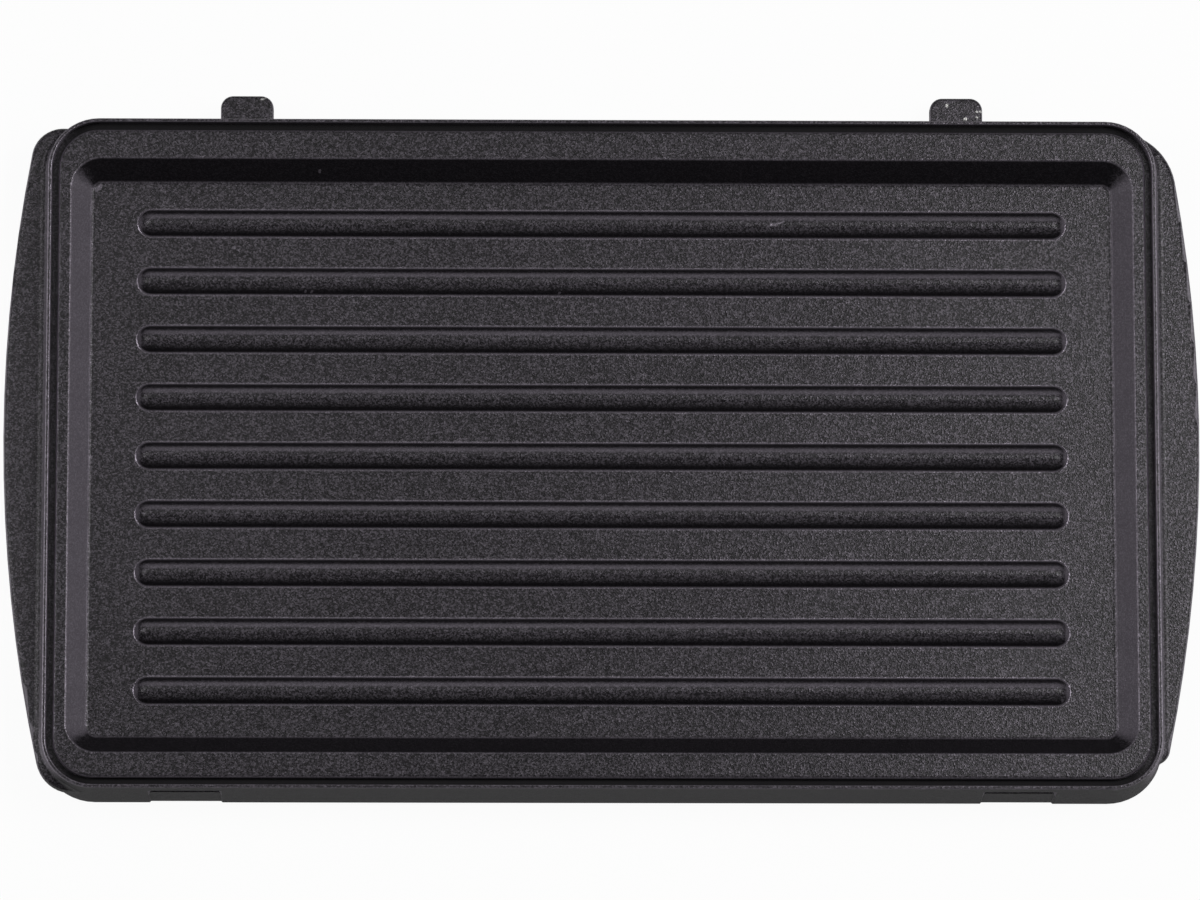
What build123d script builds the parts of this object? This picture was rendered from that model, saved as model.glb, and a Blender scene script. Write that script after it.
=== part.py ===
from build123d import *
import math
import os

os.makedirs("parts", exist_ok=True)

# A removable grill plate of a sandwich maker, one aluminium pressure die casting.
# X runs along the ribs, +Y is the hinge side with the two lugs, -Y the catch side.
# The origin is the centre of the footprint on the plane that the skirt stands on.

# Height steps of the casting
plate_height = 14.6
rim_rise = 0.8
tray_drop = 5.8
floor_thickness = 2.6
groove_drop = 1.5
rib_height = 1.9

# Cooking tray and the level land around it
tray_length = 204.5
tray_width = 115.4
tray_corner = 5.8
tray_slope_run = 3.7
land_at_sides = 2.45
land_at_front = 4.9
land_at_back = 5.6
land_corner = 7.7

# Sealing groove, upright rim and outer wall
groove_width = 1.3
rim_thickness = 0.7
wall_draft = 4.2
skirt_thickness = 2.4

# Ribs
rib_count = 9
rib_width = 5.15
rib_end_gap = 9.05
rib_row_from_back = 8.02
rib_row_from_front = 8.92

# Side ears, seen in plan as slices of a large disc that reaches past the rim's sides
# and comes back to them at the front corners
ear_reach = 8.3
ear_disc_y = 5.5
ear_below_rim = 4.8
ear_thickness = 2.8
left_ear = {"back_inset": 0.9, "front_inset": -0.2, "back_round": 6.0, "front_round": 7.0}
right_ear = {"back_inset": 0.8, "front_inset": 5.8, "back_round": 12.0, "front_round": 2.5}

# Hinge lugs on the back wall
lug_width = 10.2
lug_spacing = 137.4
lug_reach = 5.9
lug_below_rim = 6.1
lug_thickness = 4.0
lug_corner = 2.4
lug_lead_in = 1.6

# Catch recesses in the front wall: a pocket whose ledge the catch presses down
catch_width = 14.0
catch_spacing = 159.2
catch_depth = 0.35
catch_pocket_depth = 1.0
catch_roof_below_rim = 3.0
catch_ledge_below_rim = 6.0
catch_end_slope = 40.0

# Underside: channel for the appliance's tubular heater, sensor pad, core pockets
heater_tube = 6.6
heater_clearance = 0.2
channel_width = 11.6
channel_height = 3.5
channel_from_sides = 26.7
channel_from_back = 28.3
channel_from_front = 31.6
channel_bend = 18.0
channel_gap = 60.0
sensor_pad_diameter = 22.0
sensor_pad_height = 1.6
pocket_count = 6
pocket_web = 5.0
pocket_end_gap = 11.5
pocket_width = 3.0
pocket_height = 4.6
pocket_draft = 4.0
ejector_diameter = 7.0
ejector_mark = 0.3
ejector_pitch = 60.0

# Edge rounds
tray_floor_round = 0.9
tray_edge_round = 0.5
land_edge_round = 0.6
rim_edge_round = 0.25
rib_foot_round = 0.4
ear_edge_round = 0.9
ear_root_round = 1.5
ear_root_web = 0.8
lug_edge_round = 0.7
lug_root_round = 1.0
skirt_foot_round = 0.5
channel_edge_round = 0.8

# Levels worked out from the steps
land_z = plate_height - rim_rise
tray_z = land_z - tray_drop
under_z = tray_z - floor_thickness
ear_z = plate_height - ear_below_rim
ear_seat_z = ear_z - ear_thickness
lug_z = plate_height - lug_below_rim
wall_lean = math.tan(math.radians(wall_draft))
tray_draft = math.degrees(math.atan2(tray_slope_run, tray_drop))


class Outline:
    """A rounded rectangle in plan, centred on the Y axis at shift."""

    def __init__(self, length, width, corner, shift):
        self.length = length
        self.width = width
        self.corner = corner
        self.shift = shift

    def grown(self, by):
        return Outline(self.length + 2 * by, self.width + 2 * by, self.corner + by, self.shift)

    def face(self, z):
        return Pos(0, self.shift, z) * RectangleRounded(self.length, self.width, self.corner)

    def gap(self, point):
        across = abs(point.X) - self.length / 2 + self.corner
        along = abs(point.Y - self.shift) - self.width / 2 + self.corner
        outside = math.hypot(max(across, 0), max(along, 0))
        return outside + min(max(across, along), 0) - self.corner


tray_top = Outline(tray_length, tray_width, tray_corner, 0)
tray_floor = tray_top.grown(-tray_slope_run)
land = Outline(
    tray_length + 2 * land_at_sides,
    tray_width + land_at_front + land_at_back,
    land_corner,
    (land_at_back - land_at_front) / 2,
)
rim_inside = land.grown(groove_width)
rim_outside = rim_inside.grown(rim_thickness)
rim_back_y = rim_outside.shift + rim_outside.width / 2
rim_front_y = rim_outside.shift - rim_outside.width / 2
ear_tip_x = -rim_outside.length / 2 - ear_reach
ear_disc_radius = ((ear_disc_y - rim_front_y) ** 2 + ear_reach**2) / (2 * ear_reach)
lug_tip_y = rim_back_y + lug_reach
channel_x = rim_outside.length / 2 - channel_from_sides
channel_back_y = rim_back_y - channel_from_back
channel_front_y = rim_front_y + channel_from_front


def wall_at(z):
    return rim_outside.grown((plate_height - z) * wall_lean)


def edges_on(part, outline, z):
    found = []
    for edge in part.edges():
        points = [edge @ 0, edge @ 0.5, edge @ 1]
        if all(abs(p.Z - z) < 0.01 and abs(outline.gap(p)) < 0.02 for p in points):
            found.append(edge)
    return found


def level_edges(part, z):
    return [e for e in part.edges() if abs((e @ 0).Z - z) < 0.01 and abs((e @ 1).Z - z) < 0.01]


def ear_edge(y):
    run = math.sqrt(ear_disc_radius**2 - (y - ear_disc_y) ** 2)
    return Vector(ear_tip_x + ear_disc_radius - run, y)


def ear(ends):
    """A left ear: a slice of the disc with two square ends and rounded corners."""
    root_x = 2 * max(ends["back_round"], ends["front_round"]) - rim_outside.length / 2
    back = ear_edge(rim_back_y - ends["back_inset"])
    front = ear_edge(rim_front_y + ends["front_inset"])
    tip = Vector(ear_tip_x, ear_disc_y)
    back_root = Vector(root_x, back.Y)
    front_root = Vector(root_x, front.Y)
    edges = [
        Line(back_root, back),
        ThreePointArc(back, tip, front),
        Line(front, front_root),
        Line(front_root, back_root),
    ]
    plan = make_face(Curve() + edges)
    for corner, radius in ((back, ends["back_round"]), (front, ends["front_round"])):
        nearest = plan.vertices().sort_by_distance(corner)[0]
        plan = fillet(nearest, radius)
    solid = extrude(Pos(0, 0, ear_seat_z) * plan, ear_thickness)
    outer_top = [e for e in level_edges(solid, ear_z) if (e @ 0.5).X < root_x - 0.1]
    solid = fillet(outer_top, ear_edge_round)
    web_z = ear_seat_z - ear_root_web
    web = extrude(wall_at(ear_seat_z).face(web_z), ear_root_web, taper=-45)
    return solid + (extrude(Pos(0, 0, web_z) * plan, ear_root_web) & web)


def lug(x):
    """A tongue on the back wall with a lead-in under its tip."""
    root_y = rim_outside.shift + wall_at(lug_z + lug_thickness).width / 2
    length = lug_tip_y - root_y + 2 * lug_corner
    plan = Pos(0, lug_tip_y - length / 2) * RectangleRounded(lug_width, length, lug_corner)
    plan += Pos(0, root_y - lug_corner) * Rectangle(lug_width + 4 * lug_root_round, 2 * lug_corner)
    inner = [v for v in plan.vertices() if abs(v.Y - root_y) < 0.01 and abs(v.X) < lug_width / 2 + 0.1]
    plan = fillet(inner, lug_root_round)
    solid = extrude(Pos(x, 0, lug_z - lug_thickness) * plan, lug_thickness)
    above_root = [e for e in level_edges(solid, lug_z) if (e @ 0.5).Y > root_y + 0.01]
    solid = fillet(above_root, lug_edge_round)
    under = [e for e in level_edges(solid, lug_z - lug_thickness) if (e @ 0.5).Y > lug_tip_y - 0.1]
    return chamfer(under, lug_lead_in)


def front_wall_cut(x, high, low, depth):
    """A cut that runs down the front wall with its draft and has sloped ends."""
    y = rim_outside.shift - wall_at(high).width / 2
    spread = depth * math.tan(math.radians(catch_end_slope))
    outer = catch_width / 2 + spread
    inner = catch_width / 2 - spread
    corners = [(x - outer, y - depth), (x + outer, y - depth), (x + inner, y + depth), (x - inner, y + depth)]
    plan = make_face(Polyline(*corners, close=True))
    down = Vector(0, -wall_lean, -1)
    return extrude(Pos(0, 0, high) * plan, (high - low) * down.length, dir=down.normalized())


def catch_recess(x):
    roof_z = plate_height - catch_roof_below_rim
    ledge_z = plate_height - catch_ledge_below_rim
    pocket = front_wall_cut(x, roof_z, ledge_z, catch_pocket_depth)
    return front_wall_cut(x, ledge_z, -ledge_z, catch_depth) + pocket


def outer_casting():
    block = extrude(wall_at(0).face(0), plate_height, taper=wall_draft)
    block = fillet(edges_on(block, wall_at(0), 0), skirt_foot_round)
    casting = block + ear(left_ear) + mirror(ear(right_ear), Plane.YZ)
    casting = fillet(edges_on(casting, wall_at(ear_z), ear_z), ear_root_round)
    for side in (-1, 1):
        casting += lug(side * lug_spacing / 2)
        casting -= catch_recess(side * catch_spacing / 2)
    return casting


def sealing_groove():
    """The room inside the rim above the land, and the groove between land and rim."""
    ring = rim_inside.face(land_z) - land.face(land_z)
    return extrude(rim_inside.face(land_z), rim_rise) + extrude(ring, -groove_drop)


def tray_hollow():
    hollow = extrude(tray_top.face(land_z), -tray_drop, taper=tray_draft)
    return fillet(edges_on(hollow, tray_floor, tray_z), tray_floor_round)


def rib():
    """A bar of circular-segment section whose ends are caps of the same ball."""
    half = rib_width / 2
    radius = (half**2 + rib_height**2) / (2 * rib_height)
    length = tray_floor.length - 2 * rib_end_gap
    straight = length - rib_width
    bar = Rot(0, 90, 0) * Cylinder(radius, straight)
    for side in (-1, 1):
        bar += Pos(side * straight / 2, 0, 0) * Sphere(radius)
    bar = Pos(0, 0, tray_z + rib_height - radius) * bar
    keep = Pos(0, 0, tray_z - floor_thickness / 2) * Box(
        2 * length, 2 * rib_width, floor_thickness + 2 * rib_height
    )
    return bar & keep


def add_ribs(casting):
    bar = rib()
    first_y = rib_row_from_front - tray_floor.width / 2
    pitch = (tray_floor.width - rib_row_from_front - rib_row_from_back) / (rib_count - 1)
    for i in range(rib_count):
        casting += Pos(0, first_y + i * pitch, 0) * bar
    feet = [e for e in level_edges(casting, tray_z) if tray_floor.gap(e @ 0.5) < -rib_foot_round]
    return fillet(feet, rib_foot_round)


def underside_hollow():
    """The open back inside the skirt, with core pockets under the land."""
    skirt = wall_at(0).grown(-skirt_thickness)
    hollow = extrude(skirt.face(0), under_z, taper=pocket_draft)
    roof = skirt.grown(-under_z * math.tan(math.radians(pocket_draft)))
    pitch = (roof.length - 2 * pocket_end_gap + pocket_web) / pocket_count
    pocket = extrude(Rectangle(pitch - pocket_web, pocket_width), pocket_height, taper=pocket_draft)
    for side in (-1, 1):
        y = roof.shift + side * (roof.width - pocket_width) / 2
        for i in range(pocket_count):
            x = (i - (pocket_count - 1) / 2) * pitch
            hollow += Pos(x, y, under_z) * pocket
    return hollow


def heater_channel():
    """The raised band under the tray that lies on the appliance's tubular heater."""
    band_z = under_z - channel_height
    middle_y = (channel_back_y + channel_front_y) / 2
    route = Outline(2 * channel_x, channel_back_y - channel_front_y, channel_bend, middle_y)
    half = channel_width / 2
    band = route.grown(half).face(band_z) - route.grown(-half).face(band_z)
    band -= Pos(0, channel_back_y, band_z) * Rectangle(channel_gap, 2 * channel_width)
    for side in (-1, 1):
        band += Pos(side * channel_gap / 2, channel_back_y, band_z) * Circle(half)
    solid = extrude(band, channel_height)
    return fillet(level_edges(solid, band_z), channel_edge_round)


def heater_trough():
    radius = heater_tube / 2 + heater_clearance
    z = under_z - channel_height
    end_x = channel_gap / 2
    route = FilletPolyline(
        (end_x, channel_back_y, z),
        (channel_x, channel_back_y, z),
        (channel_x, channel_front_y, z),
        (-channel_x, channel_front_y, z),
        (-channel_x, channel_back_y, z),
        (-end_x, channel_back_y, z),
        radius=channel_bend,
    )
    section = Plane(origin=route @ 0, z_dir=route % 0) * Circle(radius)
    trough = sweep(section, path=route)
    for side in (-1, 1):
        trough += Pos(side * end_x, channel_back_y, z) * Sphere(radius)
    return trough


def sensor_pad():
    pad = Pos(0, 0, under_z - sensor_pad_height) * Cylinder(
        sensor_pad_diameter / 2, sensor_pad_height, align=(Align.CENTER, Align.CENTER, Align.MIN)
    )
    return chamfer(level_edges(pad, under_z - sensor_pad_height), sensor_pad_height / 3)


def ejector_marks():
    """Shallow round prints midway between the heater band and the skirt."""
    mark = Cylinder(ejector_diameter / 2, 2 * ejector_mark)
    back_y = (channel_back_y + rim_back_y) / 2
    front_y = (channel_front_y + rim_front_y) / 2
    places = [(x, y) for x in (-ejector_pitch, 0, ejector_pitch) for y in (back_y, front_y)]
    return [Pos(x, y, under_z) * mark for x, y in places]


def grill_plate():
    casting = outer_casting() - sealing_groove() - tray_hollow()
    casting = fillet(edges_on(casting, tray_top, land_z), tray_edge_round)
    casting = fillet(edges_on(casting, land, land_z), land_edge_round)
    rim_edges = edges_on(casting, rim_inside, plate_height) + edges_on(casting, rim_outside, plate_height)
    casting = fillet(rim_edges, rim_edge_round)
    casting = add_ribs(casting)
    casting = casting - underside_hollow() + heater_channel() + sensor_pad() - heater_trough()
    for mark in ejector_marks():
        casting -= mark
    skirt_inside = wall_at(0).grown(-skirt_thickness)
    casting = fillet(edges_on(casting, skirt_inside, 0), skirt_foot_round)
    footprint = casting.bounding_box()
    return Pos(0, -footprint.center().Y, 0) * casting


plate = grill_plate()
plate.label = "grill_plate"
export_step(plate, "parts/grill_plate.step")
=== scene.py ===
from math import cos, pi, radians, sin

import bmesh
import bpy
from mathutils import Matrix, Vector

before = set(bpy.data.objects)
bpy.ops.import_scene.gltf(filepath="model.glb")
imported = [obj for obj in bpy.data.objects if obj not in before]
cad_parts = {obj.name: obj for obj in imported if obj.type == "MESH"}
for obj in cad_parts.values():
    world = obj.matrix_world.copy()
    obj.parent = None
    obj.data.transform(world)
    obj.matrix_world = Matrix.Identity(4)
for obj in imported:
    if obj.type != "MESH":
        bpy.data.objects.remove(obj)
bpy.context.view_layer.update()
mm = 0.001  # one millimetre in the scene's metres
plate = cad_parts["grill_plate"]
print("loaded", len(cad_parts), "cast plate")


def linear(hexColour):  # sRGB hex to linear red, green, blue, alpha
    channels = [int(hexColour[i:i + 2], 16) / 255 for i in (1, 3, 5)]
    return [c / 12.92 if c <= 0.04045 else ((c + 0.055) / 1.055) ** 2.4 for c in channels] + [1.0]


def addNode(tree, kind, links=None, **settings):
    # a node, its settings, and what its inputs hold: a value, a socket or another node's first output
    node = tree.nodes.new(kind)
    for name, value in settings.items():
        setattr(node, name, value)
    for name, value in (links or {}).items():
        if isinstance(value, bpy.types.Node):
            value = value.outputs[0]
        if isinstance(value, bpy.types.NodeSocket):
            tree.links.new(value, node.inputs[name])
        else:
            node.inputs[name].default_value = value
    return node


def newMaterial(name):
    material = bpy.data.materials.new(name)
    material.use_nodes = True
    material.node_tree.nodes.clear()
    return material, material.node_tree


casting = {  # mm in the frame, where the finish changes on the plate
    "ribCount": 9,
    "ribWidth": 5.15,
    "ribLength": 179.0,
    "frontRibY": -47.86,
    "backRibY": 43.20,
    "ribTop": {"From Min": -0.6, "From Max": -1.2},  # in from the rib's outline
    "shoulderHighlight": 1.1,  # behind a rib's middle, where a painted highlight line runs
    "tray": {"length": 204.5, "width": 115.4, "corner": 5.8, "middleY": -2.783},
    "traySlope": 3.7,  # run of the tray's sloped walls in plan
    "floorZ": {"From Min": 9.2, "From Max": 8.7},  # the tray's floor is below this
    "topSideZ": {"From Min": 7.0, "From Max": 7.5},  # the tray side is above this
    "land": {"length": 209.4, "width": 125.9, "corner": 7.7, "middleY": -2.433},
    "landZ": 13.8,
    "grooveShadeStart": 0.2,  # under the land, where the groove's painted shade starts
    "grooveShadeFull": 0.6,  # and where it is full
    "rimInside": 1.3,  # out from the land's edge
    "rimOutside": 2.0,
    "edgeRound": 0.1,
    "heater": {"length": 160.0, "width": 70.0, "corner": 18.0, "middleY": -0.783},
    "heaterWidth": 4.4,  # burnished strip in the trough
    "heaterGapX": 28.0,  # half the open stretch at the heater's back
    "bandZ": 5.5,  # the trough is below this
    "underZ": 5.6,  # under this, inside the skirt, the casting is seen from below
    "pocketZ": 10.2,  # the same in the core pockets
    "pocketInside": -2.8,  # out from the land's edge, where the pockets start
    "pocketBlend": 0.05,
    "skirtInside": 0.72,
    "rightLugX": 62.5,
    "lugY": 62.9,
    "lugFade": 0.8,
}

coating = {
    "pigment": "#121013",
    "flake": "#948d98",  # aluminium flake in the baked coat
    "bareMetal": "#a9a8a6",
    "ior": 1.35,  # PTFE
    "grain": 0.26,  # mm, the real grit of about 0.1 is too fine to show, so it is drawn this coarse
    "mottling": {"size": 1.1, "detail": 3.0, "roughness": 0.6},  # mm, where wet spray ran together
    "cloud": {"size": 30.0, "detail": 2.0, "roughness": 0.5},  # mm, slow change over the plate
    "grainDepth": 0.03,  # mm from the lowest to the highest grain
    "mottlingDepth": 0.8,  # of the grain's depth
    "flakeShare": 0.40,  # of the coat's face, in its most metallic grains
    "mottlingFlakes": {"From Min": 0.3, "From Max": 0.7, "To Min": 0.75, "To Max": 1.0},
    "cloudFlakes": {"From Min": 0.35, "From Max": 0.65, "To Min": -0.006, "To Max": 0.006},
    "frontBackShadeFlakes": {"From Min": 0.4, "From Max": 0.75, "To Min": 1.0, "To Max": 0.1},  # flakes left, fewer where a face looks to the front or back: painted shade
    "endWallSheen": {"From Min": 0.6, "From Max": 0.8},  # how far a face looks to the plate's ends, for the painted sheen on the tray's end walls
    "endWallSheenFlakes": 0.05,
    "endWallSheenPaleness": 0.32,  # painted sheen, paler but not metallic
    "shoulderHighlightFlakes": {"From Min": 0.75, "From Max": 0.1, "To Max": 0.3},  # painted highlight on a rib's back shoulder, by mm from its line
    "highlightLeast": 0.32,  # flakes on the painted highlight lines
    "highlightGrain": 0.38,  # more in the most metallic grains
    "highlightEnds": 0.8,  # more where an edge looks to the plate's ends, a stronger painted highlight there
    "footHighlightAt": 0.12,  # mm out from a rib, the painted highlight line along its foot
    "footHighlightReach": 0.32,  # half its width
    "edgeHighlights": [  # painted highlight lines: the outline, mm out from it, half the width, strength
        ("tray", 0.05 - casting["traySlope"], 0.32, 0.3),  # foot of the tray's walls
        ("tray", 0.05, 0.30, 0.4),  # upper edge of the tray's walls
        ("land", -0.15, 0.30, 0.7),  # outer edge of the land
        ("land", casting["rimInside"] + casting["edgeRound"], 0.2, 0.6),  # inner edge of the rim
        ("land", casting["rimOutside"] - casting["edgeRound"], 0.2, 0.6),  # outer edge of the rim
    ],
    "grooveShadeEnds": {"From Min": 101.0, "From Max": 104.5, "To Min": 1.0, "To Max": 0.35},  # painted shade in the groove, weaker towards the ends, by mm aside
    "grooveRoughness": 0.5,  # more than the open coat has
    "rightLugFlakes": 0.03,  # a slightly greyer lug
    "underFlakes": 0.06,
    "underRoughness": 0.14,  # more than the open coat has
    "rubbed": {"From Min": 0.4, "From Max": 0.6, "To Min": 0.25},  # the heater trough, by mottling
    "roughness": 0.30,
    "roughSpread": 0.12,  # between the smoothest and the roughest patch
    "wallRoughness": 0.8,  # dry spray on the drawn outer wall
    "upright": {"From Min": 0.5, "From Max": 0.2},  # how level a face may be to count as wall
}

marks = {  # x, y, length, width in mm, turn in degrees
    "pale": [  # worn specks on the tray side
        (-2.7, 39.1, 0.6, 0.5, 0), (-2.7, 38.3, 0.5, 0.5, 0), (-8.2, 29.6, 0.6, 0.5, 20),
        (-57.6, 30.5, 0.7, 0.5, 10), (-57.2, 29.7, 0.5, 0.4, 0), (-56.0, 29.7, 0.6, 0.4, 0),
        (-54.6, 53.0, 0.6, 0.6, 0), (-71.1, 38.5, 1.0, 0.6, 30), (-70.2, 38.0, 0.5, 0.4, 0),
        (-97.3, 50.2, 2.2, 1.1, 50), (33.6, 43.1, 4.6, 0.55, 17), (88.0, -49.6, 0.8, 0.5, 0),
        (7.6, 10.6, 0.6, 0.5, 0), (-39.9, 26.5, 0.5, 0.5, 0), (-44.0, 51.0, 0.6, 0.5, 0),
    ],
    "bare": [  # rubbed metal on the lugs
        (70.5, 64.3, 0.9, 0.7, 20), (72.7, 65.7, 0.6, 0.6, 0), (73.4, 65.7, 0.5, 0.5, 0),
        (72.8, 64.7, 0.6, 0.5, 0), (-65.6, 67.8, 1.6, 0.5, 15), (66.9, 66.9, 0.8, 0.5, 70),
    ],
    "ragged": 0.9,  # mm that the mottling pulls a mark's edge about
    "edge": {"From Min": 1.1, "From Max": 0.6},  # of half a mark's size
    "halfHeight": 1000.0,  # mm, so that a mark is the same at any height
    "paleFlakes": 0.35,
}


def outlineGap(tree, point, outline):  # mm outside a rounded rectangle in plan, below 0 inside it
    corner = outline["corner"]
    reach = (outline["length"] / 2 - corner, outline["width"] / 2 - corner, 1.0)
    flat = addNode(tree, "ShaderNodeVectorMath", {0: point, 1: (1.0, 1.0, 0.0)}, operation="MULTIPLY")
    middle = (0.0, outline["middleY"], 0.0)
    placed = addNode(tree, "ShaderNodeVectorMath", {0: flat, 1: middle}, operation="SUBTRACT")
    folded = addNode(tree, "ShaderNodeVectorMath", {0: placed}, operation="ABSOLUTE")
    past = addNode(tree, "ShaderNodeVectorMath", {0: folded, 1: reach}, operation="SUBTRACT")
    outside = addNode(tree, "ShaderNodeVectorMath", {0: past, 1: (0.0, 0.0, 0.0)}, operation="MAXIMUM")
    outside = addNode(tree, "ShaderNodeVectorMath", {0: outside}, operation="LENGTH").outputs["Value"]
    past = addNode(tree, "ShaderNodeSeparateXYZ", {0: past}).outputs
    inside = addNode(tree, "ShaderNodeMath", {0: past[0], 1: past[1]}, operation="MAXIMUM")
    inside = addNode(tree, "ShaderNodeMath", {0: inside, 1: 0.0}, operation="MINIMUM")
    both = addNode(tree, "ShaderNodeMath", {0: outside, 1: inside}, operation="ADD")
    return addNode(tree, "ShaderNodeMath", {0: both, 1: corner}, operation="SUBTRACT")


def ribAcross(tree, y, shift):  # mm in plan to the nearest rib's middle line, moved back by shift
    first = casting["frontRibY"] + shift
    last = casting["ribCount"] - 1
    pitch = (casting["backRibY"] - casting["frontRibY"]) / last
    behind = addNode(tree, "ShaderNodeMath", {0: y, 1: first}, operation="SUBTRACT")
    number = addNode(tree, "ShaderNodeMath", {0: behind, 1: pitch}, operation="DIVIDE")
    number = addNode(tree, "ShaderNodeMath", {0: number}, operation="ROUND")
    number = addNode(tree, "ShaderNodeMath", {0: number, 1: 0.0}, operation="MAXIMUM")
    number = addNode(tree, "ShaderNodeMath", {0: number, 1: float(last)}, operation="MINIMUM")
    offset = addNode(tree, "ShaderNodeMath", {0: number, 1: -pitch, 2: behind}, operation="MULTIPLY_ADD")
    return addNode(tree, "ShaderNodeMath", {0: offset}, operation="ABSOLUTE")


def ribGap(tree, aside, y):  # mm outside the nearest rib's outline in plan, below 0 on the rib
    half = casting["ribWidth"] / 2
    straight = casting["ribLength"] / 2 - half
    along = addNode(tree, "ShaderNodeMath", {0: aside, 1: straight}, operation="SUBTRACT")
    along = addNode(tree, "ShaderNodeMath", {0: along, 1: 0.0}, operation="MAXIMUM")
    plan = addNode(tree, "ShaderNodeCombineXYZ", {0: along, 1: ribAcross(tree, y, 0.0)})
    away = addNode(tree, "ShaderNodeVectorMath", {0: plan}, operation="LENGTH").outputs["Value"]
    return addNode(tree, "ShaderNodeMath", {0: away, 1: half}, operation="SUBTRACT")


def lineMask(tree, gap, middle, reach):  # 1 on a line that runs at middle, 0 beyond reach from it
    offset = addNode(tree, "ShaderNodeMath", {0: gap, 1: middle}, operation="SUBTRACT")
    offset = addNode(tree, "ShaderNodeMath", {0: offset}, operation="ABSOLUTE")
    return addNode(
        tree, "ShaderNodeMapRange", {"Value": offset, "From Min": reach, "From Max": 0.0},
        interpolation_type="SMOOTHSTEP",
    )


def markMask(tree, point, group):  # 1 on the small marks of a group
    total = 0.0
    for x, y, length, width, turn in group:
        local = addNode(tree, "ShaderNodeMapping", {
            "Vector": point,
            "Location": (x, y, 0.0),
            "Rotation": (0.0, 0.0, radians(turn)),
            "Scale": (length / 2, width / 2, marks["halfHeight"]),
        }, vector_type="TEXTURE")
        away = addNode(tree, "ShaderNodeVectorMath", {0: local}, operation="LENGTH").outputs["Value"]
        spot = addNode(
            tree, "ShaderNodeMapRange", {"Value": away, **marks["edge"]},
            interpolation_type="SMOOTHSTEP",
        )
        total = addNode(tree, "ShaderNodeMath", {0: spot, 1: total}, operation="MAXIMUM")
    return total


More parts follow.
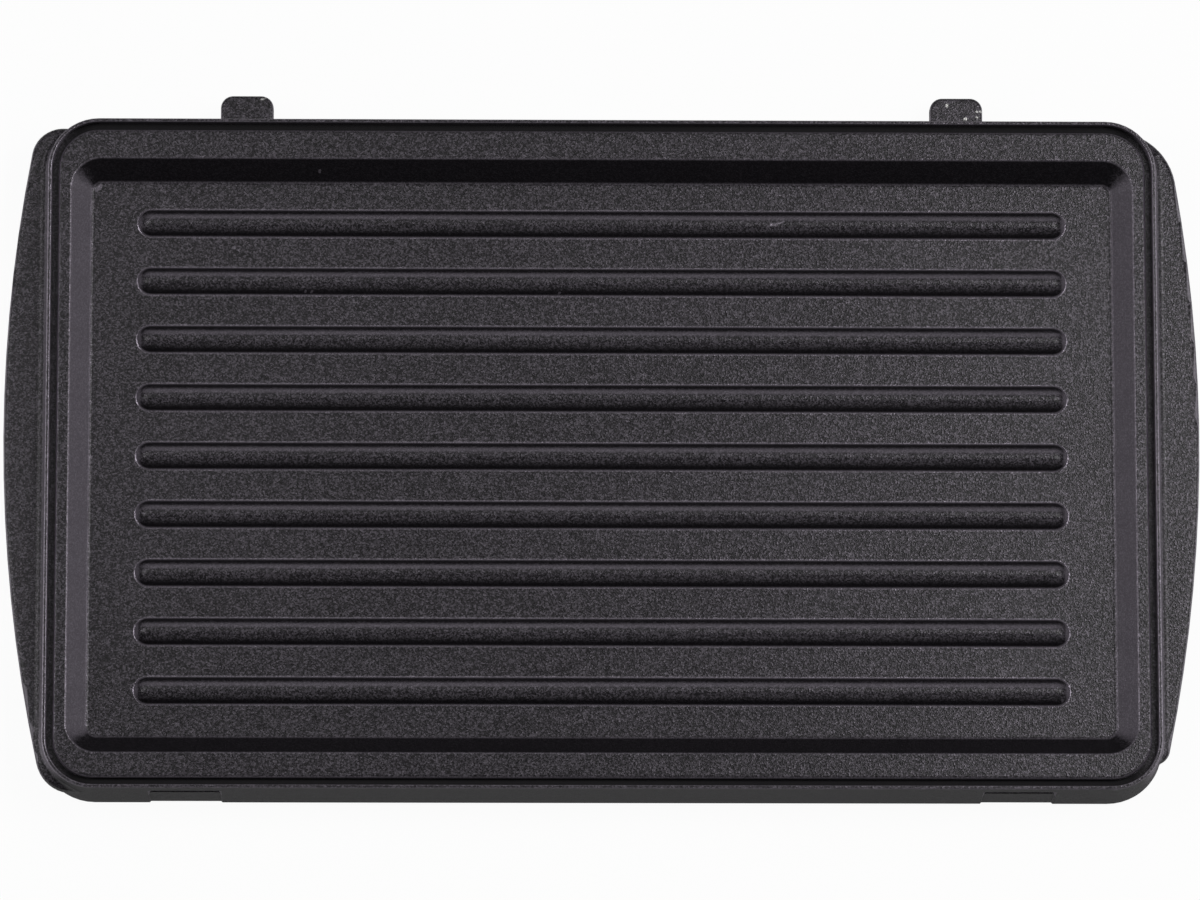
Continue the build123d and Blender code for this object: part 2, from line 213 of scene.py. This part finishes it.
def bakedCoating():
    # PTFE non-stick coating with metal flake, sprayed on a grit-blasted die casting and baked:
    # charcoal with a broad dull sheen, finely pebbled; paler lines along feet and edges are painted
    # highlights
    material, tree = newMaterial("sprayedNonStickCoating")
    place = addNode(tree, "ShaderNodeTexCoord").outputs
    point = addNode(tree, "ShaderNodeVectorMath", {
        0: place["Object"], "Scale": 1 / mm,
    }, operation="SCALE")
    x, y, high = addNode(tree, "ShaderNodeSeparateXYZ", {0: point}).outputs
    aside = addNode(tree, "ShaderNodeMath", {0: x}, operation="ABSOLUTE")
    facing = addNode(tree, "ShaderNodeVectorMath", {0: place["Normal"]}, operation="ABSOLUTE")
    toEnds, toFront, level = addNode(tree, "ShaderNodeSeparateXYZ", {0: facing}).outputs
    trayGap = outlineGap(tree, point, casting["tray"])
    landGap = outlineGap(tree, point, casting["land"])
    footGap = ribGap(tree, aside, y)
    onFloor = addNode(tree, "ShaderNodeMapRange", {"Value": high, **casting["floorZ"]})
    onTop = addNode(tree, "ShaderNodeMapRange", {"Value": high, **casting["topSideZ"]})

    grain = addNode(tree, "ShaderNodeTexVoronoi", {"Vector": point, "Scale": 1 / coating["grain"]})
    grainShade = addNode(tree, "ShaderNodeSeparateXYZ", {0: grain.outputs["Color"]}).outputs[0]
    mottling, cloud = (
        addNode(tree, "ShaderNodeTexNoise", {
            "Vector": point,
            "Scale": 1 / coating[name]["size"],
            "Detail": coating[name]["detail"],
            "Roughness": coating[name]["roughness"],
        }) for name in ("mottling", "cloud")
    )

    # flakes: sparse in the open coat; fewer on faces that look to the front or back, a painted shade,
    # and a few more on the end walls, a painted sheen
    sparse = addNode(tree, "ShaderNodeMath", {0: grainShade, 1: grainShade}, operation="MULTIPLY")
    shade = addNode(tree, "ShaderNodeMapRange", {"Value": mottling, **coating["mottlingFlakes"]})
    shade = addNode(tree, "ShaderNodeMath", {0: sparse, 1: shade}, operation="MULTIPLY")
    clouded = addNode(tree, "ShaderNodeMapRange", {"Value": cloud, **coating["cloudFlakes"]})
    flakes = addNode(tree, "ShaderNodeMath", {
        0: shade, 1: coating["flakeShare"], 2: clouded,
    }, operation="MULTIPLY_ADD")
    frontBackShade = addNode(tree, "ShaderNodeMapRange", {"Value": toFront, **coating["frontBackShadeFlakes"]})
    flakes = addNode(tree, "ShaderNodeMath", {0: flakes, 1: frontBackShade}, operation="MULTIPLY")
    endWallSheen = addNode(tree, "ShaderNodeMapRange", {"Value": toEnds, **coating["endWallSheen"]})
    flakes = addNode(tree, "ShaderNodeMath", {
        0: endWallSheen, 1: coating["endWallSheenFlakes"], 2: flakes,
    }, operation="MULTIPLY_ADD")

    # a painted highlight line along each rib's back shoulder
    shoulderHighlight = addNode(tree, "ShaderNodeMapRange", {
        "Value": ribAcross(tree, y, casting["shoulderHighlight"]), **coating["shoulderHighlightFlakes"],
    }, interpolation_type="SMOOTHSTEP")
    onRib = addNode(tree, "ShaderNodeMapRange", {"Value": footGap, **casting["ribTop"]})
    shoulderHighlight = addNode(tree, "ShaderNodeMath", {0: shoulderHighlight, 1: onRib}, operation="MULTIPLY")
    flakes = addNode(tree, "ShaderNodeMath", {
        0: shoulderHighlight, 1: onTop, 2: flakes,
    }, operation="MULTIPLY_ADD")

    # painted highlight lines, grainy, along the ribs' feet and where a level turns down
    highlightLines = lineMask(tree, footGap, coating["footHighlightAt"], coating["footHighlightReach"])
    highlightLines = addNode(tree, "ShaderNodeMath", {0: highlightLines, 1: onFloor}, operation="MULTIPLY")
    gaps = {"tray": trayGap, "land": landGap}
    for outline, middle, reach, strength in coating["edgeHighlights"]:
        line = lineMask(tree, gaps[outline], middle, reach)
        line = addNode(tree, "ShaderNodeMath", {0: line, 1: strength}, operation="MULTIPLY")
        highlightLines = addNode(tree, "ShaderNodeMath", {0: highlightLines, 1: line}, operation="MAXIMUM")
    highlightLines = addNode(tree, "ShaderNodeMath", {0: highlightLines, 1: onTop}, operation="MULTIPLY")
    lineHighlight = addNode(tree, "ShaderNodeMath", {
        0: grainShade, 1: coating["highlightGrain"], 2: coating["highlightLeast"],
    }, operation="MULTIPLY_ADD")
    lineHighlight = addNode(tree, "ShaderNodeMath", {
        0: toEnds, 1: coating["highlightEnds"], 2: lineHighlight,
    }, operation="MULTIPLY_ADD")
    flakes = addNode(tree, "ShaderNodeMath", {0: highlightLines, 1: lineHighlight, 2: flakes}, operation="MULTIPLY_ADD")

    # the sealing groove between land and rim is rougher and loses its flakes, a painted shade, less so
    # at the plate's ends
    inGroove = addNode(tree, "ShaderNodeMath", {
        0: landGap, 1: casting["rimInside"] / 2, 2: casting["rimInside"] / 2,
    }, operation="COMPARE")
    deep = addNode(tree, "ShaderNodeMapRange", {
        "Value": high,
        "From Min": casting["landZ"] - casting["grooveShadeStart"],
        "From Max": casting["landZ"] - casting["grooveShadeFull"],
    })
    grooveShade = addNode(tree, "ShaderNodeMath", {0: inGroove, 1: deep}, operation="MULTIPLY")
    grooveShade = addNode(tree, "ShaderNodeMath", {0: grooveShade, 1: onTop}, operation="MULTIPLY")
    atEnds = addNode(tree, "ShaderNodeMapRange", {"Value": aside, **coating["grooveShadeEnds"]})
    grooveShade = addNode(tree, "ShaderNodeMath", {0: grooveShade, 1: atEnds}, operation="MULTIPLY")
    outsideGrooveShade = addNode(tree, "ShaderNodeMath", {0: 1.0, 1: grooveShade}, operation="SUBTRACT")
    flakes = addNode(tree, "ShaderNodeMath", {0: flakes, 1: outsideGrooveShade}, operation="MULTIPLY")

    # small marks with ragged edges: pale specks on the tray side, bare metal on the lugs
    pull = addNode(tree, "ShaderNodeVectorMath", {
        0: mottling.outputs["Color"], 1: (0.5, 0.5, 0.5),  # the noise's middle, so it pulls both ways
    }, operation="SUBTRACT")
    ragged = addNode(tree, "ShaderNodeVectorMath", {
        0: pull, 1: (marks["ragged"], marks["ragged"], 0.0), 2: point,
    }, operation="MULTIPLY_ADD")
    pale = markMask(tree, ragged, marks["pale"])
    pale = addNode(tree, "ShaderNodeMath", {0: pale, 1: onTop}, operation="MULTIPLY")
    bare = markMask(tree, ragged, marks["bare"])
    onRight = addNode(tree, "ShaderNodeMath", {0: x, 1: casting["rightLugX"]}, operation="GREATER_THAN")
    onLug = addNode(tree, "ShaderNodeMapRange", {
        "Value": y, "From Min": casting["lugY"], "From Max": casting["lugY"] + casting["lugFade"],
    })
    rightLug = addNode(tree, "ShaderNodeMath", {0: onRight, 1: onLug}, operation="MULTIPLY")

    # underside: a duller coat, rubbed bare where the heater lies in its trough
    highest = addNode(tree, "ShaderNodeMapRange", {
        "Value": landGap,
        "From Min": casting["pocketInside"] - casting["pocketBlend"],
        "From Max": casting["pocketInside"],
        "To Min": casting["underZ"],
        "To Max": casting["pocketZ"],
    })
    below = addNode(tree, "ShaderNodeMath", {0: high, 1: highest}, operation="LESS_THAN")
    inSkirt = addNode(tree, "ShaderNodeMath", {
        0: landGap, 1: casting["skirtInside"],
    }, operation="LESS_THAN")
    under = addNode(tree, "ShaderNodeMath", {0: below, 1: inSkirt}, operation="MULTIPLY")
    for patch, more in (
        (rightLug, coating["rightLugFlakes"]),
        (pale, marks["paleFlakes"]),
        (under, coating["underFlakes"]),
    ):
        flakes = addNode(tree, "ShaderNodeMath", {
            0: patch, 1: more, 2: flakes,
        }, operation="MULTIPLY_ADD")
    flakes.use_clamp = True
    heaterGap = outlineGap(tree, point, casting["heater"])
    trough = lineMask(tree, heaterGap, 0.0, casting["heaterWidth"] / 2)
    inBand = addNode(tree, "ShaderNodeMath", {0: high, 1: casting["bandZ"]}, operation="LESS_THAN")
    besideGap = addNode(tree, "ShaderNodeMath", {
        0: aside, 1: casting["heaterGapX"],
    }, operation="GREATER_THAN")
    inFront = addNode(tree, "ShaderNodeMath", {0: y, 1: 0.0}, operation="LESS_THAN")
    onRoute = addNode(tree, "ShaderNodeMath", {0: besideGap, 1: inFront}, operation="MAXIMUM")
    rubbed = addNode(tree, "ShaderNodeMapRange", {"Value": mottling, **coating["rubbed"]})
    for part in (inBand, onRoute, rubbed):
        trough = addNode(tree, "ShaderNodeMath", {0: trough, 1: part}, operation="MULTIPLY")
    bare = addNode(tree, "ShaderNodeMath", {0: bare, 1: trough}, operation="MAXIMUM")

    # colour: a painted sheen makes the tray's end walls paler but not more metallic
    endSheen = addNode(tree, "ShaderNodeMath", {0: endWallSheen, 1: onTop}, operation="MULTIPLY")
    paleness = addNode(tree, "ShaderNodeMath", {
        0: endSheen, 1: coating["endWallSheenPaleness"], 2: flakes,
    }, operation="MULTIPLY_ADD")
    colour = addNode(tree, "ShaderNodeMix", {
        0: paleness, 6: linear(coating["pigment"]), 7: linear(coating["flake"]),
    }, data_type="RGBA").outputs[2]
    colour = addNode(tree, "ShaderNodeMix", {
        0: bare, 6: colour, 7: linear(coating["bareMetal"]),
    }, data_type="RGBA").outputs[2]
    metal = addNode(tree, "ShaderNodeMath", {0: flakes, 1: bare}, operation="MAXIMUM")

    # roughness: most on the drawn outer wall and in the groove
    upright = addNode(tree, "ShaderNodeMapRange", {"Value": level, **coating["upright"]})
    outer = addNode(tree, "ShaderNodeMath", {
        0: landGap, 1: casting["rimOutside"] - casting["edgeRound"],
    }, operation="GREATER_THAN")
    wall = addNode(tree, "ShaderNodeMath", {0: upright, 1: outer}, operation="MULTIPLY")
    rough = addNode(tree, "ShaderNodeMath", {
        0: mottling, 1: coating["roughSpread"], 2: coating["roughness"] - coating["roughSpread"] / 2,
    }, operation="MULTIPLY_ADD")
    for patch, more in (
        (under, coating["underRoughness"]),
        (grooveShade, coating["grooveRoughness"]),
        (wall, coating["wallRoughness"] - coating["roughness"]),
    ):
        rough = addNode(tree, "ShaderNodeMath", {0: patch, 1: more, 2: rough}, operation="MULTIPLY_ADD")
    pebbles = addNode(tree, "ShaderNodeMath", {
        0: mottling, 1: coating["mottlingDepth"], 2: grain,
    }, operation="MULTIPLY_ADD")
    bump = addNode(tree, "ShaderNodeBump", {"Height": pebbles, "Distance": coating["grainDepth"] * mm})
    surface = addNode(tree, "ShaderNodeBsdfPrincipled", {
        "Base Color": colour,
        "Metallic": metal,
        "Roughness": rough,
        "IOR": coating["ior"],
        "Normal": bump,
    })
    addNode(tree, "ShaderNodeOutputMaterial", {"Surface": surface})
    return material


plate.data.materials.clear()
plate.data.materials.append(bakedCoating())
print("coated", plate.name)

stage = {
    "floorSize": 6.0,  # m
    "paper": "#f4f4f4",
    "background": "#ffffff",
    "whiteShare": 0.95,  # of the white that a look at the paper sees, the rest keeps the shadow
    "room": 0.10,  # the room's light
}


def seenRay(tree):  # 1 for what the camera, a reflection or a transmission sees
    path = addNode(tree, "ShaderNodeLightPath")
    seen = addNode(tree, "ShaderNodeMath", {
        0: path.outputs["Is Camera Ray"], 1: path.outputs["Is Glossy Ray"],
    }, operation="MAXIMUM")
    return addNode(tree, "ShaderNodeMath", {
        0: seen, 1: path.outputs["Is Transmission Ray"],
    }, operation="MAXIMUM")


def paleFloor():
    shape = bmesh.new()
    bmesh.ops.create_grid(shape, x_segments=1, y_segments=1, size=stage["floorSize"] / 2)
    mesh = bpy.data.meshes.new("floor")
    shape.to_mesh(mesh)
    shape.free()
    floor = bpy.data.objects.new("floor", mesh)
    bpy.context.scene.collection.objects.link(floor)
    material, tree = newMaterial("palePaper")  # matt paper that fades to the white background
    paper = addNode(tree, "ShaderNodeBsdfDiffuse", {"Color": linear(stage["paper"])})
    white = addNode(tree, "ShaderNodeEmission", {"Color": linear(stage["background"])})
    share = addNode(tree, "ShaderNodeMath", {
        0: seenRay(tree), 1: stage["whiteShare"],
    }, operation="MULTIPLY")
    mixed = addNode(tree, "ShaderNodeMixShader", {0: share, 1: paper, 2: white})
    addNode(tree, "ShaderNodeOutputMaterial", {"Surface": mixed})
    mesh.materials.append(material)


def paleRoom():
    world = bpy.data.worlds.new("studio")
    world.use_nodes = True
    tree = world.node_tree
    tree.nodes.clear()
    room = addNode(tree, "ShaderNodeBackground", {
        "Color": linear(stage["background"]), "Strength": stage["room"],
    })
    addNode(tree, "ShaderNodeOutputWorld", {"Surface": room})
    bpy.context.scene.world = world


softboxes = {  # degrees round from the back towards the right, degrees up, width and height in m, glow
    "leftLowBox": {"round": 270, "up": 10, "size": (0.40, 0.16), "glow": 2.4},
    "rightLowBox": {"round": 90, "up": 10, "size": (0.40, 0.16), "glow": 3.2},
    "leftBox": {"round": 270, "up": 42, "size": (0.24, 0.20), "glow": 5.0},
    "rightBox": {"round": 90, "up": 42, "size": (0.24, 0.20), "glow": 4.0},
    "leftTopBox": {"round": 288, "up": 61, "size": (0.30, 0.30), "glow": 3.0},
    "rightTopBox": {"round": 72, "up": 62, "size": (0.30, 0.30), "glow": 7.2},
    "backBox": {"round": 0, "up": 40, "size": (0.50, 0.20), "glow": 0.6},
    "topBox": {"round": 0, "up": 66, "size": (0.50, 0.20), "glow": 0.65},
    "frontBox": {"round": 180, "up": 45, "size": (0.50, 0.30), "glow": 0.3},
}
softboxAway = 0.8  # m from the plate


def addSoftboxes():
    for name, box in softboxes.items():
        light = bpy.data.lights.new(name, "AREA")
        light.shape = "RECTANGLE"
        light.size, light.size_y = box["size"]
        light.energy = pi * light.size * light.size_y * box["glow"]  # W for that glow
        turn, up = radians(box["round"]), radians(box["up"])
        lamp = bpy.data.objects.new(name, light)
        lamp.location = softboxAway * Vector((sin(turn) * cos(up), cos(turn) * cos(up), sin(up)))
        lamp.rotation_mode = "QUATERNION"
        lamp.rotation_quaternion = (-lamp.location).to_track_quat("-Z", "Y")
        bpy.context.scene.collection.objects.link(lamp)


camera = {
    "place": (-0.02862, -0.24909, 1.4346),
    "aim": (-0.00042, -0.00099, 0.008),
    "pictureUp": (0, 1, 0),
    "roll": -0.0007,  # rad
    "lens": 225.9,  # mm
    "sensor": 36.0,  # mm
    "nearest": 0.01,  # m
}


def addCamera():
    data = bpy.data.cameras.new("camera")
    data.lens = camera["lens"]
    data.sensor_width = camera["sensor"]
    data.clip_start = camera["nearest"]
    eye = bpy.data.objects.new("camera", data)
    eye.location = camera["place"]
    back = (Vector(camera["place"]) - Vector(camera["aim"])).normalized()
    right = Vector(camera["pictureUp"]).cross(back).normalized()
    turn = Matrix((right, back.cross(right), back)).transposed()
    eye.rotation_euler = (turn @ Matrix.Rotation(camera["roll"], 3, "Z")).to_euler()
    bpy.context.scene.collection.objects.link(eye)
    bpy.context.scene.camera = eye


paleFloor()
paleRoom()
addSoftboxes()
addCamera()
bpy.context.scene.view_settings.view_transform = "Standard"
print("stage, lights and camera are set")
